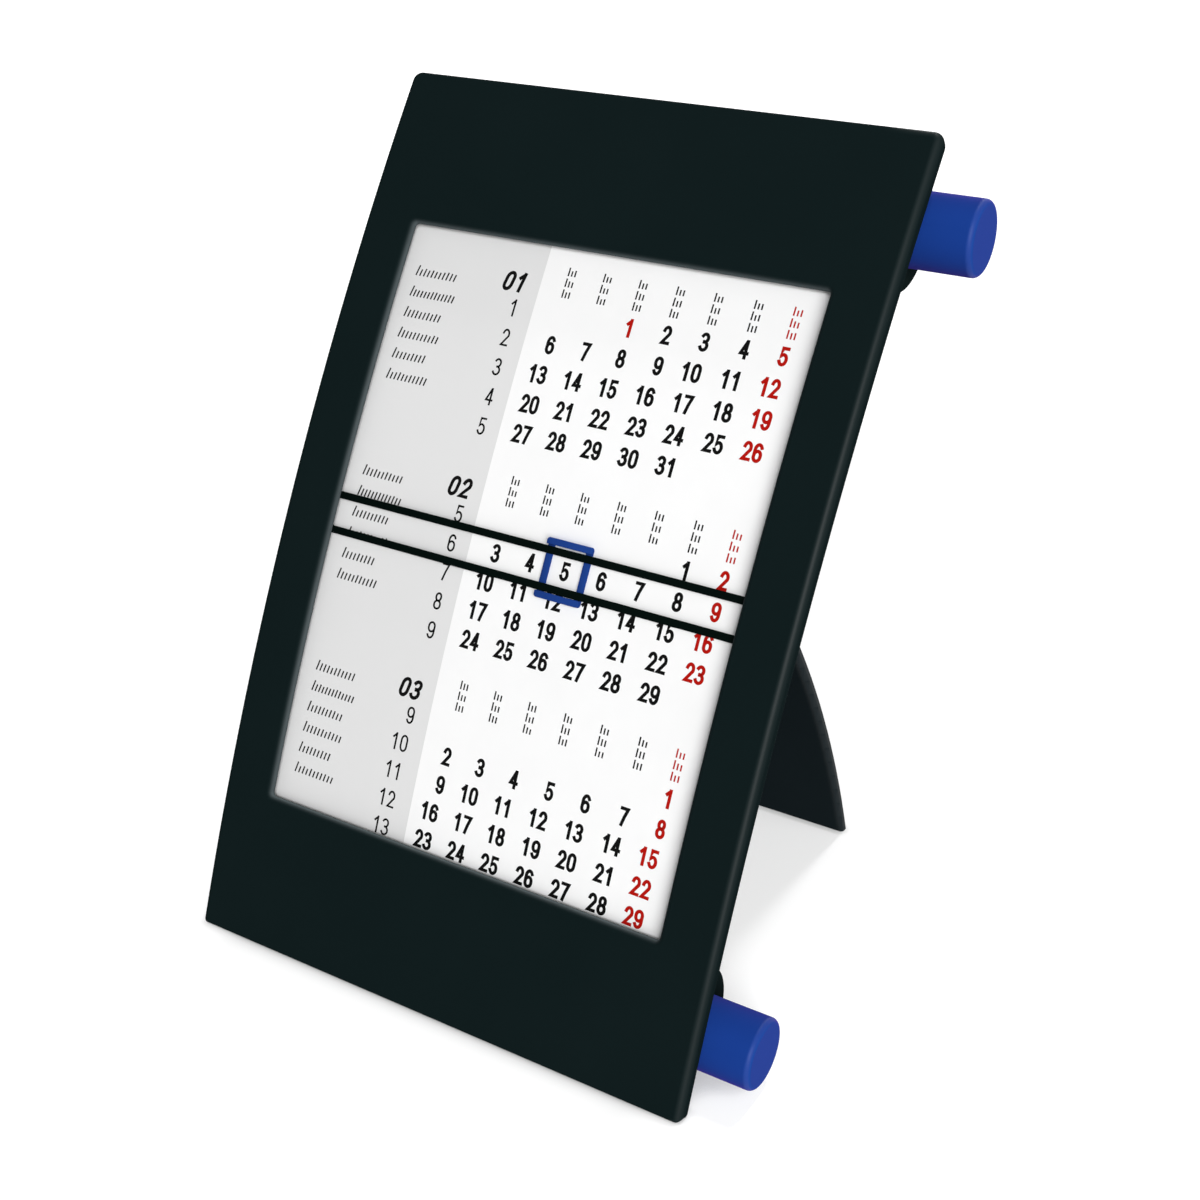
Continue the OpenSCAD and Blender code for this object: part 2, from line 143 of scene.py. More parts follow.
def piece(name, mesh, body, slot, material, *nodes):
    """Makes a finished mesh an object that moves with a body and stands for the named CAD nodes."""
    bmesh.ops.recalc_face_normals(mesh, faces=mesh.faces)
    data = bpy.data.meshes.new(name)
    mesh.to_mesh(data)
    mesh.free()
    data.shade_smooth()
    data.set_sharp_from_angle(angle=smooth_angle)
    data.materials.append(material)
    thing = bpy.data.objects.new(name, data)
    bpy.context.scene.collection.objects.link(thing)
    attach(thing, body)
    if nodes:
        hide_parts(*nodes)


class Shade:
    """A material's output socket. Sums and products of such sockets add Math nodes to its tree."""

    def __init__(self, tree, socket=None):
        self.tree = tree
        self.socket = socket

    def put(self, node, inputs):
        for key, value in inputs.items():
            if isinstance(value, Shade):
                self.tree.links.new(value.socket, node.inputs[key])
            else:
                node.inputs[key].default_value = value

    def add(self, kind, settings, inputs, output=0):
        node = self.tree.nodes.new(kind)
        for key, value in settings.items():
            setattr(node, key, value)
        self.put(node, inputs)
        return Shade(self.tree, node.outputs[output])

    def maths(self, operation, first, second):
        return self.add("ShaderNodeMath", {"operation": operation}, {0: first, 1: second})

    def __add__(self, other):
        return self.maths("ADD", self, other)

    def __radd__(self, other):
        return self.maths("ADD", other, self)

    def __sub__(self, other):
        return self.maths("SUBTRACT", self, other)

    def __rsub__(self, other):
        return self.maths("SUBTRACT", other, self)

    def __mul__(self, other):
        return self.maths("MULTIPLY", self, other)

    def __rmul__(self, other):
        return self.maths("MULTIPLY", other, self)

    def blend(self, low, high):
        """Colour that runs from low to high as this value goes from 0 to 1."""
        return self.add("ShaderNodeMix", {"data_type": "RGBA"}, {0: self, 6: low, 7: high}, 2)


def paint(red, green, blue):
    """Colour as written in 0 to 255 steps, turned to the linear values that a shader takes."""
    steps = [value / 255 for value in (red, green, blue)]
    return [v / 12.92 if v <= 0.04045 else ((v + 0.055) / 1.055) ** 2.4 for v in steps] + [1]


def new_material(name):
    """Empty material, with its shader and the object coordinates that its patterns read."""
    material = bpy.data.materials.new(name)
    material.use_nodes = True
    shade = Shade(material.node_tree)
    shader = material.node_tree.nodes["Principled BSDF"]
    place = shade.add("ShaderNodeTexCoord", {}, {}, "Object")
    return material, shade, shader, place


def noise(shade, place, size, detail=2):
    """Even noise about 0.5, with lumps of about the given size."""
    return shade.add("ShaderNodeTexNoise", {}, {"Vector": place, "Scale": 1 / size, "Detail": detail})


def smooth_rise(shade, value, start, end):
    """0 up to the start and 1 from the end on, with a soft step between them."""
    return shade.add("ShaderNodeMapRange", {"interpolation_type": "SMOOTHSTEP"}, {
        "Value": value, "From Min": start, "From Max": end})


def moulded(name, dark, light, roughness=0.78, specular=0.004, grain=0.35 * mm, relief=0.004 * mm):
    """Moulded plastic: a faint cloud in its colour, a spark-eroded grain and an uneven matt surface."""
    material, shade, shader, place = new_material(name)
    cloud = noise(shade, place, 22 * mm)
    fine = noise(shade, place, grain, 1)
    bump = shade.add("ShaderNodeBump", {}, {"Height": fine, "Distance": relief, "Strength": 0.6})
    shade.put(shader, {
        "Base Color": cloud.blend(dark, light),
        "Roughness": roughness - 0.06 + 0.08 * cloud + 0.04 * fine,
        "Specular IOR Level": specular,
        "Normal": bump,
    })
    return material, shade, shader, place


def polish(shade, shader, where, weight, roughness):
    """Thin gloss where hands have rubbed the grain away, given by a value from 0 to 1."""
    shade.put(shader, {"Coat Weight": weight * where, "Coat Roughness": roughness})


black_plastic, shade, shader, place = moulded(
    "black_frame_plastic", paint(15, 26, 27), paint(18, 29, 30))
# The rounded lip takes a pale colour, a painted reflection of the white paper beside it.
lip = shade.add("ShaderNodeAttribute", {"attribute_name": "lip"}, {}, "Fac")
rubbed = shade.add("ShaderNodeAttribute", {"attribute_name": "rubbed"}, {}, "Fac")
body_colour = Shade(shade.tree, shader.inputs["Base Color"].links[0].from_socket)
shade.put(shader, {"Base Color": lip.blend(body_colour, paint(77, 85, 87))})
polish(shade, shader, rubbed, weight=0.2, roughness=0.42)

quarter_steps = 10
quarter = [math.radians(90 * step / quarter_steps) for step in range(quarter_steps + 1)]
face_shares = (0.01, 0.15, 0.3, 0.45, 0.6, 0.75, 0.9, 0.99)
loops = []
lip_values = []
rubbed_values = []


def add_loop(half, low, high, r, depth, lip_value=0, rubbed_value=0, foot_corner_r=None):
    """Adds one loop of the frame's skin, with its share of the lip's painted paper reflection and of the
    gloss.
    """
    r = max(r, least_corner_r)
    loops.append(soft_loop(half, low, high, r, depth, foot_corner_r or r))
    lip_values.append(lip_value)
    rubbed_values.append(rubbed_value)


for a in quarter:
    side = back_r * (1 - math.sin(a))
    foot = back_foot_r * (1 - math.sin(a))
    depth = panel_t - back_r * (1 - math.cos(a))
    add_loop(panel_half - side, foot, panel_h - side, back_corner_r - side, depth,
             foot_corner_r=least_corner_r)
for a in quarter:
    side = edge_r * (1 - math.cos(a))
    foot = foot_r * (1 - math.cos(a))
    depth = edge_r * (1 - math.sin(a))
    add_loop(panel_half - side, foot, panel_h - side, top_corner_r - side, depth,
             rubbed_value=rub_scale * math.sin(a) * math.sin(2 * a),
             foot_corner_r=max(corner_r - side, least_corner_r))
for t in face_shares:
    half = between(panel_half - edge_r, window_half + lip_r, t)
    low = between(foot_r, window_low - lip_r, t)
    high = between(panel_h - edge_r, window_high + lip_r, t)
    add_loop(half, low, high, between(0, window_corner_r + lip_r, t), 0)
# Round the window's lip: the painted paper reflection grows over the rounding and fades out just above
# the paper.
for a in quarter:
    out = lip_r * (1 - math.sin(a))
    r = window_corner_r + out
    depth = lip_r * (1 - math.cos(a))
    add_loop(window_half + out, window_low - out, window_high + out, r, depth, math.sin(a) ** 4)
for depth, value in ((lip_t - lip_shade, 1), (lip_t, 0)):
    add_loop(window_half, window_low, window_high, window_corner_r, depth, lip_value=value)
for depth in (lip_t, panel_t):
    add_loop(pocket_half, pocket_end, panel_h - pocket_end, least_corner_r, depth)
mesh = bmesh.new()
layers = [mesh.verts.layers.float.new(name) for name in ("lip", "rubbed")]
for row, *values in zip(loft(mesh, loops, ring=True), lip_values, rubbed_values):
    for vertex in row:
        knob_side = min(1, max(0, (vertex.co.x - panel_half) / rub_reach + 2))
        for layer, value in zip(layers, (values[0], values[1] * knob_side)):
            vertex[layer] = value
piece("bowed_front_frame", mesh, "frame", "frame_plastic", black_plastic, "front_frame")


# Rear housing: a second moulding of the same plastic, smooth behind and matt on its end cheeks. It
# closes the back, holds the two roll troughs and the platen, and is screwed on the frame.
housing_plastic, shade, shader, place = moulded(
    "black_housing_plastic", paint(13, 24, 24), paint(16, 27, 27))
housing_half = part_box("rear_housing")[1].x
smooth_end = housing_half - 6 * mm
matt_start = housing_half - 4 * mm
across = shade.add("ShaderNodeSeparateXYZ", {}, {"Vector": place}, "X")
from_middle = shade.maths("ABSOLUTE", across, 0.0)
cheeks = smooth_rise(shade, from_middle, smooth_end, matt_start)
polish(shade, shader, 1 - cheeks, weight=0.22, roughness=0.5)


def dress(node, material):
    """Gives a CAD node's own mesh a finished material."""
    frame["nodes"][node].material_slots[0].material = material


dress("rear_housing", housing_plastic)


# Housing screws: small pan-head steel screws, zinc plated, with a cross recess. Each is driven from
# behind through a tab of the housing into the frame. A node tree makes one and stands it at each tab.
def metal(name, dark, light, roughness):
    """Plated steel with fine turning marks in its gloss."""
    material, shade, shader, place = new_material(name)
    streaks = noise(shade, place, 0.6 * mm, 3)
    shade.put(shader, {
        "Base Color": streaks.blend(dark, light),
        "Roughness": roughness + 0.12 * streaks,
        "Metallic": 1.0,
    })
    return material


plated_steel = metal("plated_steel", paint(128, 130, 132), paint(176, 178, 180), 0.24)
screw = {
    "Thread Radius": 0.8 * mm, "Thread Length": 4.2 * mm,
    "Head Radius": 1.7 * mm, "Head Height": 1.2 * mm, "Seat Gap": 0.2 * mm,
    "Recess Length": 1.9 * mm, "Recess Width": 0.42 * mm, "Recess Depth": 0.6 * mm,
}
dome_share = 0.5


def open_tree(name, sizes):
    """New node tree with named inputs for its sizes and its material, and those inputs as sockets."""
    tree = bpy.data.node_groups.new(name, "GeometryNodeTree")
    tree.interface.new_socket("Geometry", in_out="INPUT", socket_type="NodeSocketGeometry")
    for size in sizes:
        tree.interface.new_socket(size, in_out="INPUT", socket_type="NodeSocketFloat")
    tree.interface.new_socket("Material", in_out="INPUT", socket_type="NodeSocketMaterial")
    tree.interface.new_socket("Geometry", in_out="OUTPUT", socket_type="NodeSocketGeometry")
    entry = tree.nodes.new("NodeGroupInput")
    return Shade(tree), {socket.name: Shade(tree, socket) for socket in entry.outputs}


def close_tree(net, given, shape):
    """Ends a node tree in plain mesh with the given material."""
    shape = net.add("GeometryNodeRealizeInstances", {}, {"Geometry": shape})
    shape = net.add("GeometryNodeSetMaterial", {}, {"Geometry": shape, "Material": given["Material"]})
    net.put(net.tree.nodes.new("NodeGroupOutput"), {"Geometry": shape})
    return net.tree


def grow(name, mesh, tree, values):
    """Runs a node tree on a mesh and keeps the result as a plain mesh that moves with the frame."""
    data = bpy.data.meshes.new(f"{name}_start")
    mesh.to_mesh(data)
    mesh.free()
    carrier = bpy.data.objects.new(f"{name}_start", data)
    bpy.context.scene.collection.objects.link(carrier)
    modifier = carrier.modifiers.new("grow", "NODES")
    modifier.node_group = tree
    for item in tree.interface.items_tree:
        if item.in_out == "INPUT" and item.name in values:
            modifier[item.identifier] = values[item.name]
    evaluated = carrier.evaluated_get(bpy.context.evaluated_depsgraph_get())
    grown = bpy.data.meshes.new_from_object(evaluated)
    bpy.data.objects.remove(carrier)
    grown.shade_smooth()
    grown.set_sharp_from_angle(angle=smooth_angle)
    thing = bpy.data.objects.new(name, grown)
    bpy.context.scene.collection.objects.link(thing)
    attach(thing, "frame")
    return thing


def screw_tree():
    """Node tree that stands a cross-recessed screw on each point, along the point's own way."""
    net, given = open_tree("cross_recessed_screws", screw)
    head_h = given["Head Height"] - given["Seat Gap"]
    head = net.add("GeometryNodeMeshCylinder", {}, {
        "Vertices": 40, "Fill Segments": 5, "Radius": given["Head Radius"], "Depth": head_h})
    place = net.add("GeometryNodeInputPosition", {}, {})
    x, y, z = [net.add("ShaderNodeSeparateXYZ", {}, {"Vector": place}, axis) for axis in "XYZ"]
    reach = (x * x + y * y) * net.maths("DIVIDE", 1.0, given["Head Radius"] * given["Head Radius"])
    on_top = net.maths("GREATER_THAN", z, 0.0)
    drop = net.add("ShaderNodeCombineXYZ", {}, {"Z": reach * reach * on_top * head_h * -dome_share})
    head = net.add("GeometryNodeSetPosition", {}, {"Geometry": head, "Offset": drop})
    raised = net.add("ShaderNodeCombineXYZ", {}, {"Z": given["Seat Gap"] + head_h * 0.5})
    head = net.add("GeometryNodeTransform", {}, {"Geometry": head, "Translation": raised})
    recess = net.add("ShaderNodeCombineXYZ", {}, {
        "X": given["Recess Length"], "Y": given["Recess Width"], "Z": given["Recess Depth"] * 2})
    slot = net.add("GeometryNodeMeshCube", {}, {"Size": recess})
    top = net.add("ShaderNodeCombineXYZ", {}, {"Z": given["Head Height"]})
    for turn in (0.0, math.radians(90)):
        cutter = net.add("GeometryNodeTransform", {}, {
            "Geometry": slot, "Translation": top, "Rotation": (0.0, 0.0, turn)})
        head = net.add("GeometryNodeMeshBoolean", {"operation": "DIFFERENCE", "solver": "EXACT"}, {
            "Mesh 1": head, "Mesh 2": cutter})
    thread_l = given["Thread Length"] + given["Seat Gap"] * 2
    thread = net.add("GeometryNodeMeshCylinder", {}, {
        "Vertices": 24, "Radius": given["Thread Radius"], "Depth": thread_l})
    sunk = net.add("ShaderNodeCombineXYZ", {}, {"Z": given["Seat Gap"] * 2 - thread_l * 0.5})
    thread = net.add("GeometryNodeTransform", {}, {"Geometry": thread, "Translation": sunk})
    joined = net.tree.nodes.new("GeometryNodeJoinGeometry")
    for shape in (head, thread):
        net.tree.links.new(shape.socket, joined.inputs[0])
    whole = Shade(net.tree, joined.outputs[0])
    way = net.add("GeometryNodeInputNamedAttribute", {"data_type": "FLOAT_VECTOR"}, {"Name": "way"})
    turned = net.add("FunctionNodeAlignRotationToVector", {"axis": "Z"}, {"Vector": way})
    screws = net.add("GeometryNodeInstanceOnPoints", {}, {
        "Points": given["Geometry"], "Instance": whole, "Rotation": turned})
    return close_tree(net, given, screws)


screw_points = [vertex.co for vertex in frame["nodes"]["housing_screws"].data.vertices]
screw_leans = [math.atan2(p.z - axis_z, axis_y - p.y) for p in screw_points]
middle_lean = (min(screw_leans) + max(screw_leans)) / 2
mesh = bmesh.new()
ways = mesh.verts.layers.float_vector.new("way")
for right_side in (False, True):
    for upper in (False, True):
        own = [(p, lean) for p, lean in zip(screw_points, screw_leans)
               if (p.x > 0) == right_side and (lean > middle_lean) == upper]
        x = (min(p.x for p, lean in own) + max(p.x for p, lean in own)) / 2
        lean = (min(lean for p, lean in own) + max(lean for p, lean in own)) / 2
        way = Vector((0, math.cos(lean), -math.sin(lean)))
        end = max((p - Vector((0, axis_y, axis_z))).dot(way) for p, lean in own)
        seat = Vector((x, axis_y, axis_z)) + way * (end - screw["Head Height"])
        mesh.verts.new(seat)[ways] = way
housing_screws = grow(
    "cross_recessed_screws", mesh, screw_tree(), dict(screw, Material=plated_steel))
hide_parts("housing_screws")


# Platen and spools: plain dark grey mouldings inside the housing. The paper slides over the bowed
# platen, and each spool turns in the housing's cheeks.
inner_plastic = moulded(
    "grey_inner_plastic", paint(40, 45, 47), paint(50, 55, 57), roughness=0.55, specular=0.2)[0]
for node in ("paper_platen", "upper_spool", "lower_spool"):
    dress(node, inner_plastic)


# Brake washers: punched from sheet rubber and dull all over. They rub on the housing's cheeks and
# hold the rolls where the knobs have left them.
brake_rubber = moulded(
    "brake_rubber", paint(30, 30, 30), paint(42, 42, 42),
    roughness=0.85, specular=0.2, relief=0.02 * mm)[0]
for node in ("upper_brake_washer", "lower_brake_washer"):
    dress(node, brake_rubber)


# Paper rolls: the rest of the calendar strip, wound tight on its two spools. They are of the strip's
# own uncoated paper and lie hidden in the troughs.
def paper_material(name):
    """Uncoated white paper with a faint cloud and a fine felt."""
    material, shade, shader, place = new_material(name)
    felt = noise(shade, place, 0.25 * mm, 3)
    cloud = noise(shade, place, 9 * mm)
    bump = shade.add("ShaderNodeBump", {}, {"Height": felt, "Distance": 0.002 * mm, "Strength": 0.5})
    white = cloud.blend(paint(244, 244, 244), paint(249, 249, 249))
    shade.put(shader, {
        "Base Color": white,
        "Roughness": 0.72 + 0.1 * felt,
        "Specular IOR Level": 0.1,
        "Normal": bump,
    })
    return material, shade, shader, place, white


roll_paper = paper_material("wound_paper")[0]
for node in ("upper_paper_roll", "lower_paper_roll"):
    dress(node, roll_paper)


# Calendar strip: one long sheet of printed paper. It runs from the front of the lower roll over the
# bowed platen to the front of the upper roll, with a pale grey column down its left side.
paper_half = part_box("calendar_strip")[1].x
paper_depth = 3.2 * mm
paper_t = 0.2 * mm
platen_end = 27 * mm
paper_steps = 80
strip_skew = 0.9 / 121
column_x = -14.0 * mm


def touch_point(start, middle, r, turn):
    """Point of the side view where a line from start touches a round, passing it on the turned side."""
    way = middle - start
    a = math.atan2(way.y, way.x) + turn * math.asin(r / way.length)
    return start + math.sqrt(way.length ** 2 - r ** 2) * Vector((math.cos(a), math.sin(a)))


def side_view(point):
    return Vector((point.y, point.z))


def roll_side(node):
    """Middle and radius of a roll in the side view."""
    low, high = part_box(node)
    return side_view((low + high) / 2), (high.y - low.y) / 2


def strip_line(depth, clear):
    """Side view of one face of the strip, from the lower roll to the upper one."""
    line = []
    for step in range(paper_steps + 1):
        s = platen_end + (panel_h - 2 * platen_end) * step / paper_steps
        line.append(side_view(face_point(0, s, depth)))
    for node, turn in (("lower_paper_roll", -1), ("upper_paper_roll", 1)):
        middle, r = roll_side(node)
        end = touch_point(line[0 if turn < 0 else -1], middle, r + clear, turn)
        line.insert(0 if turn < 0 else len(line), end)
    return line


roll_gap = 0.2 * mm
front_line = strip_line(paper_depth, roll_gap + paper_t)
rear_line = strip_line(paper_depth + paper_t, roll_gap)
mesh = bmesh.new()
loft(mesh, [
    [Vector((x, p.x, p.y)) for x, p in
     ((-paper_half, a), (paper_half, a), (paper_half, b), (-paper_half, b))]
    for a, b in zip(front_line, rear_line)
])
strip_paper, shade, shader, place, white = paper_material("calendar_paper")
across = shade.add("ShaderNodeSeparateXYZ", {}, {"Vector": place}, "X")
height = shade.add("ShaderNodeSeparateXYZ", {}, {"Vector": place}, "Z")
middle_z = face_point(0, panel_h / 2, paper_depth).z
column_edge = column_x - strip_skew * (height - middle_z)
column = shade.maths("LESS_THAN", across, column_edge)
shade.put(shader, {"Base Color": column.blend(white, paint(223, 223, 223))})
piece("calendar_sheet", mesh, "frame", "paper", strip_paper, "calendar_strip")


# Day and week numbers: printed on the strip in plain condensed figures, black for working days and
# red for the last day of the week, with thin week numbers in the grey column.
ink_t = 0.02 * mm
ink_sunk = 0.005 * mm
months = [
    {"days": 31, "first": 3, "week": 1, "red": (1,),
     "row": 139.78, "pitch": 6.03, "shift": -0.25, "drift": 0.11, "tilt": 0.03},
    {"days": 29, "first": 6, "week": 5, "red": (),
     "row": 97.83, "pitch": 5.9, "shift": 0.34, "drift": 0.05, "tilt": 0.01},
    {"days": 29, "first": 7, "week": 9, "red": (),
     "row": 56.62, "pitch": 5.84, "shift": 0.36, "drift": -0.1, "tilt": 0.01},
]
weeks_shown = 5
day_rights = (-7.18, 0.72, 8.56, 16.59, 24.62, 32.83, 40.68)
week_right = -17.65
week_drop = 0.3
month_right = -17.3
month_rise = 4.9
figure = {"height": 3.7, "width": 1.95, "stroke": 0.66, "advance": 2.15, "slant": 0.0}
thin_figure = {"height": 3.5, "width": 1.75, "stroke": 0.4, "advance": 2.15, "slant": 0.0}
month_figure = {"height": 4.1, "width": 2.3, "stroke": 0.72, "advance": 2.75, "slant": 0.2}


def arc(x, y, rx, ry, start, end):
    """Points on an oval's arc, between two angles in degrees."""
    steps = max(2, round(abs(end - start) / 15))
    angles = [math.radians(start + (end - start) * i / steps) for i in range(steps + 1)]
    return [(x + rx * math.cos(a), y + ry * math.sin(a)) for a in angles]


def oval(x, y, rx, ry, straight):
    """Closed oval with straight sides of a given length, ending on its first point."""
    top = arc(x, y + straight / 2, rx, ry, 0, 180)
    foot = arc(x, y - straight / 2, rx, ry, 180, 360)
    return top + foot + top[:1]


# Centre lines of the figures in a box one unit wide and high. The nine is the six turned round.
six = [oval(0.5, 0.3, 0.5, 0.26, 0.08), [(0, 0.3), (0, 0.66)] + arc(0.5, 0.68, 0.5, 0.32, 180, 30)]
figures = {
    "0": [oval(0.5, 0.5, 0.5, 0.3, 0.4)],
    "1": [[(0.62, 0), (0.62, 1)], [(0.14, 0.76), (0.5, 0.93)]],
    "2": [arc(0.5, 0.7, 0.48, 0.3, 165, -20) + [(0.04, 0.0), (1, 0)]],
    "3": [arc(0.45, 0.755, 0.47, 0.245, 150, -90), arc(0.45, 0.26, 0.53, 0.26, 90, -155)],
    "4": [[(0.74, 0), (0.74, 1)], [(0.64, 0.96), (0.02, 0.27), (1.02, 0.27)]],
    "5": [[(0.92, 1), (0.16, 1), (0.08, 0.52)] + arc(0.46, 0.31, 0.52, 0.31, 135, -155)],
    "6": six,
    "7": [[(0, 1), (1, 1), (0.62, 0.5), (0.36, 0)]],
    "8": [oval(0.5, 0.76, 0.42, 0.22, 0.04), oval(0.5, 0.26, 0.5, 0.23, 0.06)],
    "9": [[(1 - x, 1 - y) for x, y in path] for path in six],
}


def ribbon(path, width):
    """Left and right edges of a stroke along a path, with mitred corners and square ends."""
    points = [Vector(p) for p in path]
    closed = (points[0] - points[-1]).length < width / 1000
    if closed:
        points.pop()
    else:
        points[0] += (points[0] - points[1]).normalized() * width / 2
        points[-1] += (points[-1] - points[-2]).normalized() * width / 2
    count = len(points)
    edges = []
    for i, point in enumerate(points):
        ways = []
        if closed or i > 0:
            ways.append((point - points[i - 1]).normalized())
        if closed or i < count - 1:
            ways.append((points[(i + 1) % count] - point).normalized())
        sides = [Vector((-way.y, way.x)) for way in ways]
        mitre = sum(sides, Vector((0, 0))).normalized()
        reach = width / 2 / max(0.5, mitre.dot(sides[0]))
        edges.append((point + mitre * reach, point - mitre * reach))
    return edges, closed


def ink_section(left, right):
    """The four corners of a stroke of ink on the bowed paper, from flat points in millimetres."""
    top = paper_depth - ink_t
    foot = paper_depth + ink_sunk
    return [face_point(p.x * mm, p.y * mm, depth)
            for p, depth in ((left, top), (right, top), (right, foot), (left, foot))]


def print_number(mesh, number, right, s, style):
    """Prints a number that ends at a place across the strip, about a height up it."""
    stroke = style["stroke"]
    for place, digit in enumerate(reversed(str(number))):
        left = right - style["width"] - place * style["advance"]
        for path in figures[digit]:
            flat = []
            for x, y in path:
                up = (y - 0.5) * (style["height"] - stroke)
                along = stroke / 2 + x * (style["width"] - stroke) + up * style["slant"]
                flat.append((left + along, s + up))
            edges, closed = ribbon(flat, stroke)
            loft(mesh, [ink_section(a, b) for a, b in edges], ring=closed)


def ink(name, colour):
    """Printing ink: a flat film that takes the paper's felt."""
    material, shade, shader, place = new_material(name)
    felt = noise(shade, place, 0.3 * mm)
    shade.put(shader, {
        "Base Color": felt.blend(colour, [value * 1.15 for value in colour[:3]] + [1]),
        "Roughness": 0.6 + 0.1 * felt,
        "Specular IOR Level": 0.05,
    })
    return material


black_ink = ink("black_ink", paint(8, 8, 8))
red_ink = ink("red_ink", paint(168, 17, 9))
black_numbers = bmesh.new()
red_numbers = bmesh.new()
week_numbers = bmesh.new()
month_numbers = bmesh.new()
for index, month in enumerate(months):
    for day in range(1, month["days"] + 1):
        row, column = divmod(month["first"] - 2 + day, 7)
        red = column == 6 or day in month["red"]
        right = day_rights[column] + month["shift"] + month["drift"] * row
        s = month["row"] - month["pitch"] * row + month["tilt"] * (column - 3)
        print_number(red_numbers if red else black_numbers, day, right, s, figure)
    for row in range(weeks_shown):
        s = month["row"] - week_drop - month["pitch"] * row
        right = week_right + month["shift"] + month["drift"] * row
        print_number(week_numbers, month["week"] + row, right, s, thin_figure)
    right = month_right + month["shift"]
    print_number(month_numbers, f"0{index + 1}", right, month["row"] + month_rise, month_figure)
piece("black_day_numbers", black_numbers, "frame", "paper", black_ink)
piece("red_day_numbers", red_numbers, "frame", "paper", red_ink)
piece("week_numbers", week_numbers, "frame", "paper", black_ink)
piece("month_numbers", month_numbers, "frame", "paper", black_ink)


# Printed ticks: rows of short ink strokes without letters, six slanted rows beside each month and
# three small upright ones above each column of days. Each row is a line that a node tree fills.
row_tick = {"Pitch": 0.85 * mm, "Width": 0.33 * mm, "Height": 2.2 * mm, "Slant": 0.2}
head_tick = {"Pitch": 0.72 * mm, "Width": 0.32 * mm, "Height": 1.7 * mm, "Slant": 0.0}
least_tick = 0.62
most_tick = 0.78
row_lengths = (9.2, 10.2, 8.3, 9.2, 7.4, 9.2)
row_left = -43.2
row_pitch = 4.35
row_rise = 2.6
head_length = 1.45
head_rises = (7.8, 5.6, 3.4)


def tick_tree():
    """Node tree that stands ticks along each edge of a flat mesh and lays them on the bowed paper."""
    sizes = (
        "Pitch", "Width", "Height", "Slant", "Ink",
        "Face Radius", "Axis Y", "Axis Z", "Foot Lean", "Depth")
    net, given = open_tree("ticks_on_bowed_paper", sizes)
    rows = net.add("GeometryNodeMeshToCurve", {}, {"Mesh": given["Geometry"]})
    spots = net.add("GeometryNodeResampleCurve", {"mode": "LENGTH"}, {
        "Curve": rows, "Length": given["Pitch"]})
    size = net.add("ShaderNodeCombineXYZ", {}, {
        "X": given["Width"], "Y": given["Height"], "Z": given["Ink"]})
    tick = net.add("GeometryNodeMeshCube", {}, {"Size": size})
    stood = net.add("ShaderNodeCombineXYZ", {}, {"Y": given["Height"] * 0.5})
    tick = net.add("GeometryNodeTransform", {}, {"Geometry": tick, "Translation": stood})
    place = net.add("GeometryNodeSplineParameter", {}, {}, "Index")
    first = net.maths("LESS_THAN", place, 0.5)
    chance = net.add("FunctionNodeRandomValue", {}, {2: least_tick, 3: most_tick, "Seed": 4}, 1)
    height = net.maths("MAXIMUM", first, chance)
    scale = net.add("ShaderNodeCombineXYZ", {}, {"X": 1.0, "Y": height, "Z": 1.0})
    turn = net.add("ShaderNodeCombineXYZ", {}, {"Z": given["Slant"] * -1})
    ticks = net.add("GeometryNodeInstanceOnPoints", {}, {
        "Points": spots, "Instance": tick, "Rotation": turn, "Scale": scale})
    ticks = net.add("GeometryNodeRealizeInstances", {}, {"Geometry": ticks})
    flat = net.add("GeometryNodeInputPosition", {}, {})
    x, s, z = [net.add("ShaderNodeSeparateXYZ", {}, {"Vector": flat}, axis) for axis in "XYZ"]
    lean = given["Foot Lean"] + s * net.maths("DIVIDE", 1.0, given["Face Radius"])
    r = given["Face Radius"] - given["Depth"] + z
    y = given["Axis Y"] - r * net.maths("COSINE", lean, 0.0)
    up = given["Axis Z"] + r * net.maths("SINE", lean, 0.0)
    bowed = net.add("ShaderNodeCombineXYZ", {}, {"X": x, "Y": y, "Z": up})
    ticks = net.add("GeometryNodeSetPosition", {}, {"Geometry": ticks, "Position": bowed})
    return close_tree(net, given, ticks)


ticks_on_bowed_paper = tick_tree()


def print_ticks(name, rows, style, material):
    """Prints rows of ticks, each given by its left end, height up the strip and length."""
    mesh = bmesh.new()
    for left, s, length in rows:
        ends = [mesh.verts.new((x * mm, s * mm, 0)) for x in (left, left + length)]
        mesh.edges.new(ends)
    values = dict(style)
    values.update({"Ink": ink_t, "Face Radius": face_r, "Axis Y": axis_y, "Axis Z": axis_z})
    values.update({"Foot Lean": foot_lean, "Depth": paper_depth, "Material": material})
    grow(name, mesh, ticks_on_bowed_paper, values)


row_ticks = []
head_ticks = []
red_head_ticks = []
for month in months:
    for row, length in enumerate(row_lengths):
        row_ticks.append((row_left + month["shift"], month["row"] + row_rise - row_pitch * row, length))
    for column in range(7):
        left = day_rights[column] + month["shift"] - head_length
        for rise in head_rises:
            ticks = red_head_ticks if column == 6 else head_ticks
            ticks.append((left, month["row"] + rise, head_length))
print_ticks("month_ticks", row_ticks, row_tick, black_ink)
print_ticks("day_ticks", head_ticks, head_tick, black_ink)
print_ticks("red_day_ticks", red_head_ticks, head_tick, red_ink)


# Date bars and slide shoes: two thin black bars across the window, whose ends sit in shoes that run
# behind the lip. The bars' edges are rounded as they leave the mould.
mould_edge_r = 0.12 * mm
crease = math.radians(30)


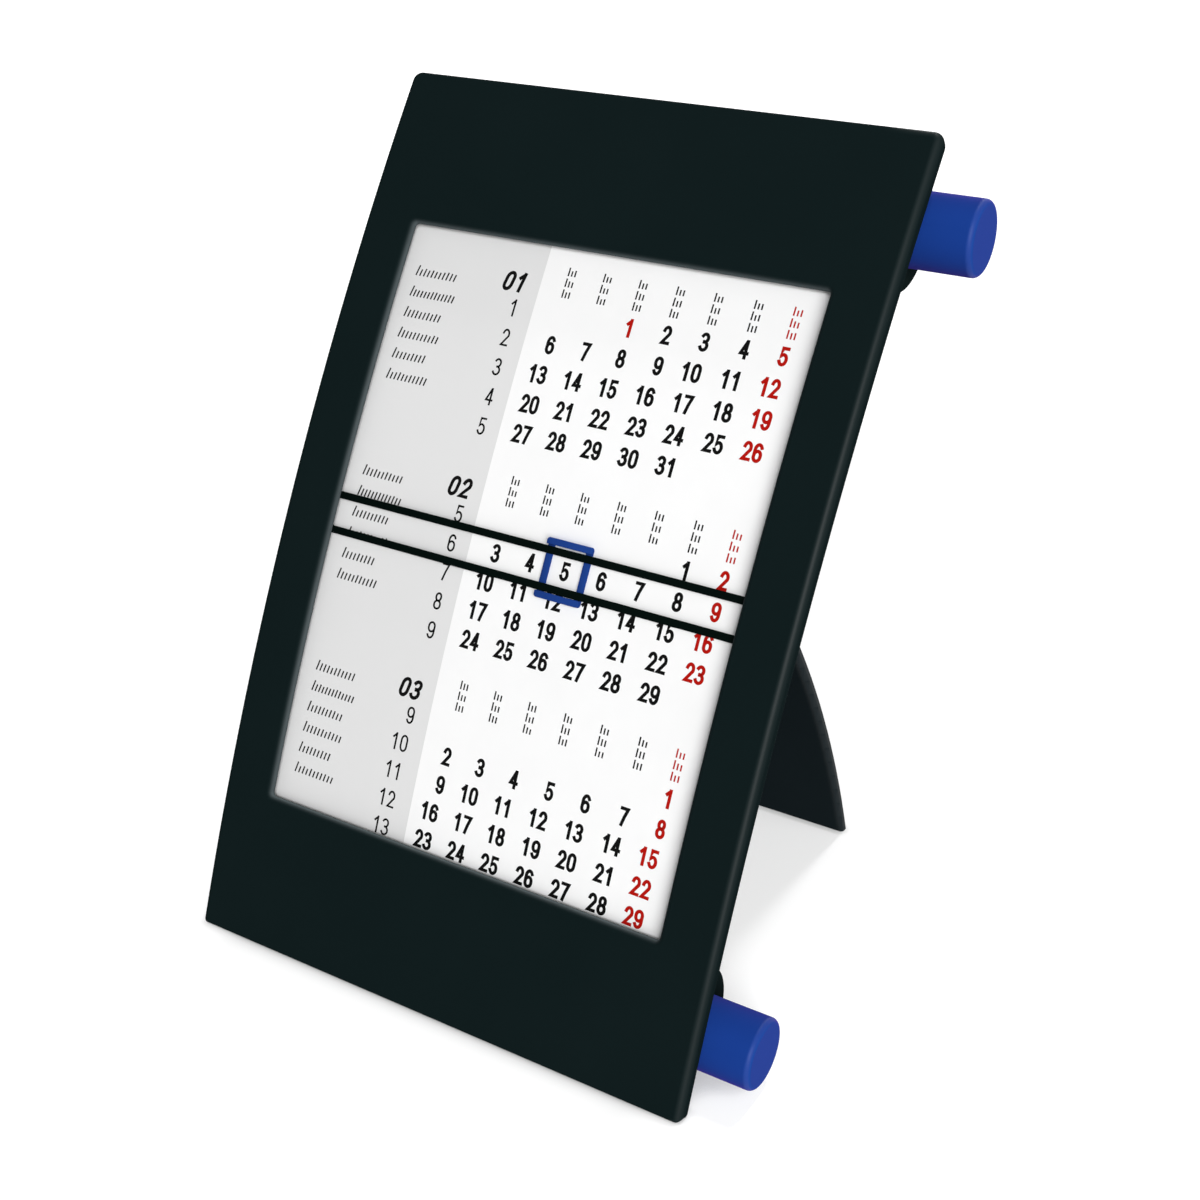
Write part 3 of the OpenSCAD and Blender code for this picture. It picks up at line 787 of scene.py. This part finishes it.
def softened(node, radius):
    """Copy of a CAD node's mesh, merged, with its sharp edges rounded."""
    mesh = bmesh.new()
    mesh.from_mesh(frame["nodes"][node].data)
    bmesh.ops.remove_doubles(mesh, verts=mesh.verts, dist=0.002 * mm)
    bmesh.ops.dissolve_limit(
        mesh, angle_limit=math.radians(0.3), verts=mesh.verts, edges=mesh.edges)
    sharp = [edge for edge in mesh.edges if edge.is_manifold and edge.calc_face_angle() > crease]
    bmesh.ops.bevel(
        mesh, geom=sharp, offset=radius, offset_type="OFFSET", segments=2, profile=0.5,
        affect="EDGES", clamp_overlap=True)
    return mesh


bar_plastic = moulded("black_bar_plastic", paint(4, 13, 11), paint(7, 15, 13))[0]
for node in ("upper_date_bar", "lower_date_bar"):
    mesh = softened(node, mould_edge_r)
    piece(f"soft_{node}", mesh, "date_marker", "bar_plastic", bar_plastic, node)
for node in ("left_slide_shoe", "right_slide_shoe"):
    dress(node, bar_plastic)


# Day frame: a small blue moulding that slides along the bars. Its rails lie outside them and its
# thin legs pass behind them.
marker_plastic = moulded("blue_marker_plastic", paint(28, 59, 129), paint(32, 63, 135))[0]
mesh = softened("day_frame", mould_edge_r)
piece("soft_day_frame", mesh, "day_marker", "marker_plastic", marker_plastic, "day_frame")


# Knobs: plain blue mouldings pressed on the spools' ends. Each has a flat end, painted paler for the
# light that falls on it, with a round edge that fingers have rubbed, and its sides turn purple where
# they are seen aslant.
knob_plastic, shade, shader, place = moulded(
    "blue_knob_plastic", paint(22, 57, 136), paint(26, 62, 143))
shade.put(shader, {"Sheen Weight": 1.0, "Sheen Roughness": 0.45, "Sheen Tint": (0.06, 0.0, 0.11, 1)})
knob_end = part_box("upper_knob")[1].x
across = shade.add("ShaderNodeSeparateXYZ", {}, {"Vector": place}, "X")
rim_low, rim_high = 1.3 * mm, 0.7 * mm
end_low, end_high = 0.3 * mm, 0.05 * mm
rim = smooth_rise(shade, across, knob_end - rim_low, knob_end - rim_high)
end_face = smooth_rise(shade, across, knob_end - end_low, knob_end - end_high)
polish(shade, shader, rim - end_face, weight=0.35, roughness=0.5)
body_colour = Shade(shade.tree, shader.inputs["Base Color"].links[0].from_socket)
# The end face is painted paler, standing in for the light that falls on it.
shade.put(shader, {"Base Color": end_face.blend(body_colour, paint(27, 70, 150))})
for node in ("upper_knob", "lower_knob"):
    dress(node, knob_plastic)


# Stand leg: a bowed black moulding, hinged on a steel pin behind the panel. Its rounded sides are
# rubbed by the fingers that fold it.
leg_plastic, shade, shader, place = moulded("black_leg_plastic", paint(21, 28, 31), paint(24, 32, 35))
leg_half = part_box("stand_leg")[1].x
across = shade.add("ShaderNodeSeparateXYZ", {}, {"Vector": place}, "X")
from_middle = shade.maths("ABSOLUTE", across, 0.0)
side_low, side_high = 2.4 * mm, 0.6 * mm
sides = smooth_rise(shade, from_middle, leg_half - side_low, leg_half - side_high)
polish(shade, shader, sides, weight=0.2, roughness=0.33)
dress("stand_leg", leg_plastic)
dress("leg_hinge_pin", plated_steel)


# Studio: a white floor and surround, a soft lamp beside the camera, and an even light from above and
# behind, which leaves a pale shadow under the leg and a thin one along the panel's foot. The floor
# glows a little; painted shade from occlusion dims that glow along the panel's foot and in the nook
# under the panel, painted light beyond the panel's sides lifts the shadows there, and a fill from
# behind shows the back.
def seen_or_mirrored(shade):
    """1 for rays from the camera, from gloss or through glass, and 0 for those that light things."""
    node = shade.tree.nodes.new("ShaderNodeLightPath")
    rays = [Shade(shade.tree, node.outputs[name])
            for name in ("Is Camera Ray", "Is Glossy Ray", "Is Transmission Ray")]
    return shade.maths("MAXIMUM", shade.maths("MAXIMUM", rays[0], rays[1]), rays[2])


floor_half = 3.0
floor_glow = 0.43
far_glow = 0.3
far_start, far_end = 0.2, 1.2
painted_light_beside_strength = 0.13
beside_start, beside_end = 0.045, 0.056
contact_reach = 1.8 * mm
contact_gain = 1.2
nook_reach = 60 * mm
nook_dark, nook_open = 0.1, 0.34
nook_least = 0.05
lit_grey = (0.5, 0.5, 0.5, 1)
seen_grey = (0.62, 0.62, 0.62, 1)
floor_mesh = bmesh.new()
bmesh.ops.create_grid(floor_mesh, x_segments=1, y_segments=1, size=floor_half)
floor_data = bpy.data.meshes.new("floor")
floor_mesh.to_mesh(floor_data)
floor_mesh.free()
floor = bpy.data.objects.new("floor", floor_data)
bpy.context.scene.collection.objects.link(floor)
floor_paint = bpy.data.materials.new("white_floor")
floor_paint.use_nodes = True
floor_paint.node_tree.nodes.clear()
shade = Shade(floor_paint.node_tree)
shown = seen_or_mirrored(shade)
matt = shade.add("ShaderNodeBsdfDiffuse", {}, {"Color": lit_grey})
faint = shade.add("ShaderNodeBsdfDiffuse", {}, {"Color": seen_grey})
# Painted shade: occlusion dims the floor's glow in a thin line where the object stands on it and in the
# nook under the panel.
painted_contact_shade = shade.add("ShaderNodeAmbientOcclusion", {}, {"Distance": contact_reach}, "AO")
painted_contact_shade = contact_gain * painted_contact_shade - (contact_gain - 1)
painted_nook_shade = shade.add("ShaderNodeAmbientOcclusion", {}, {"Distance": nook_reach}, "AO")
painted_nook_shade = nook_least + (1 - nook_least) * smooth_rise(shade, painted_nook_shade, nook_dark, nook_open)
place = shade.add("ShaderNodeTexCoord", {}, {}, "Object")
away = shade.add("ShaderNodeVectorMath", {"operation": "LENGTH"}, {0: place}, "Value")
across = shade.add("ShaderNodeSeparateXYZ", {}, {"Vector": place}, "X")
far = smooth_rise(shade, away, far_start, far_end)
# Painted light: extra glow on the floor beyond the panel's sides, on both sides, that lifts the shadows
# cast there.
painted_light_beside = smooth_rise(shade, shade.maths("ABSOLUTE", across, 0.0), beside_start, beside_end)
glow = shade.add("ShaderNodeEmission", {}, {
    "Color": (1, 1, 1, 1),
    "Strength": floor_glow * painted_contact_shade * painted_nook_shade + far_glow * far + painted_light_beside_strength * painted_light_beside})
backdrop = shade.add("ShaderNodeAddShader", {}, {0: faint, 1: glow})
mixed = shade.add("ShaderNodeMixShader", {}, {0: shown, 1: matt, 2: backdrop})
output = shade.tree.nodes.new("ShaderNodeOutputMaterial")
shade.put(output, {"Surface": mixed})
floor_data.materials.append(floor_paint)

world = bpy.data.worlds.new("studio")
bpy.context.scene.world = world
world.use_nodes = True
shade = Shade(world.node_tree)
surround = world.node_tree.nodes["Background"]
fill = 0.18
shade.put(surround, {"Color": (1, 1, 1, 1), "Strength": fill + (1 - fill) * seen_or_mirrored(shade)})


def aim(data, place, target):
    """Hangs a lamp at a place, turned to face a point of the object."""
    lamp = bpy.data.objects.new(data.name, data)
    bpy.context.scene.collection.objects.link(lamp)
    lamp.location = place
    lamp.rotation_euler = (Vector(target) - Vector(place)).to_track_quat("-Z", "Y").to_euler()


panel_middle = Vector((0, 0.04, 0.08))
key_away = 2.2
key_data = bpy.data.lights.new("key", "AREA")
key_data.shape = "RECTANGLE"
key_data.size, key_data.size_y = 0.9, 1.7
key_data.energy = 36.3
aim(key_data, panel_middle + key_away * Vector((0.71, -0.665, 0.235)), panel_middle)
suns = (
    {"name": "camera_fill", "angle": 15, "energy": 1.23, "shadow": True, "way": (0.46, -0.75, 0.475)},
    {"name": "top_light", "angle": 7, "energy": 1.0, "shadow": True, "way": (0.03, 0.42, 0.907)},
    {"name": "rear_fill", "angle": 30, "energy": 1.6, "shadow": False, "way": (-0.35, 0.88, 0.32)},
)
for sun in suns:
    sun_data = bpy.data.lights.new(sun["name"], "SUN")
    sun_data.angle = math.radians(sun["angle"])
    sun_data.energy = sun["energy"]
    sun_data.use_shadow = sun["shadow"]
    aim(sun_data, panel_middle + Vector(sun["way"]), panel_middle)

camera_data = bpy.data.cameras.new("camera")
camera_data.sensor_width = 36
camera_data.lens = 50.96
camera_data.shift_x = 0.0146
camera_data.shift_y = 0.034
camera_data.clip_start = 0.01
camera = bpy.data.objects.new("camera", camera_data)
bpy.context.scene.collection.objects.link(camera)
camera.location = (161.635 * mm, -206.060 * mm, 223.292 * mm)
camera_down, camera_turn = 28.37, 31.42
camera.rotation_euler = (math.radians(90 - camera_down), 0, math.radians(camera_turn))
bpy.context.scene.camera = camera
bpy.context.scene.view_settings.view_transform = "Standard"
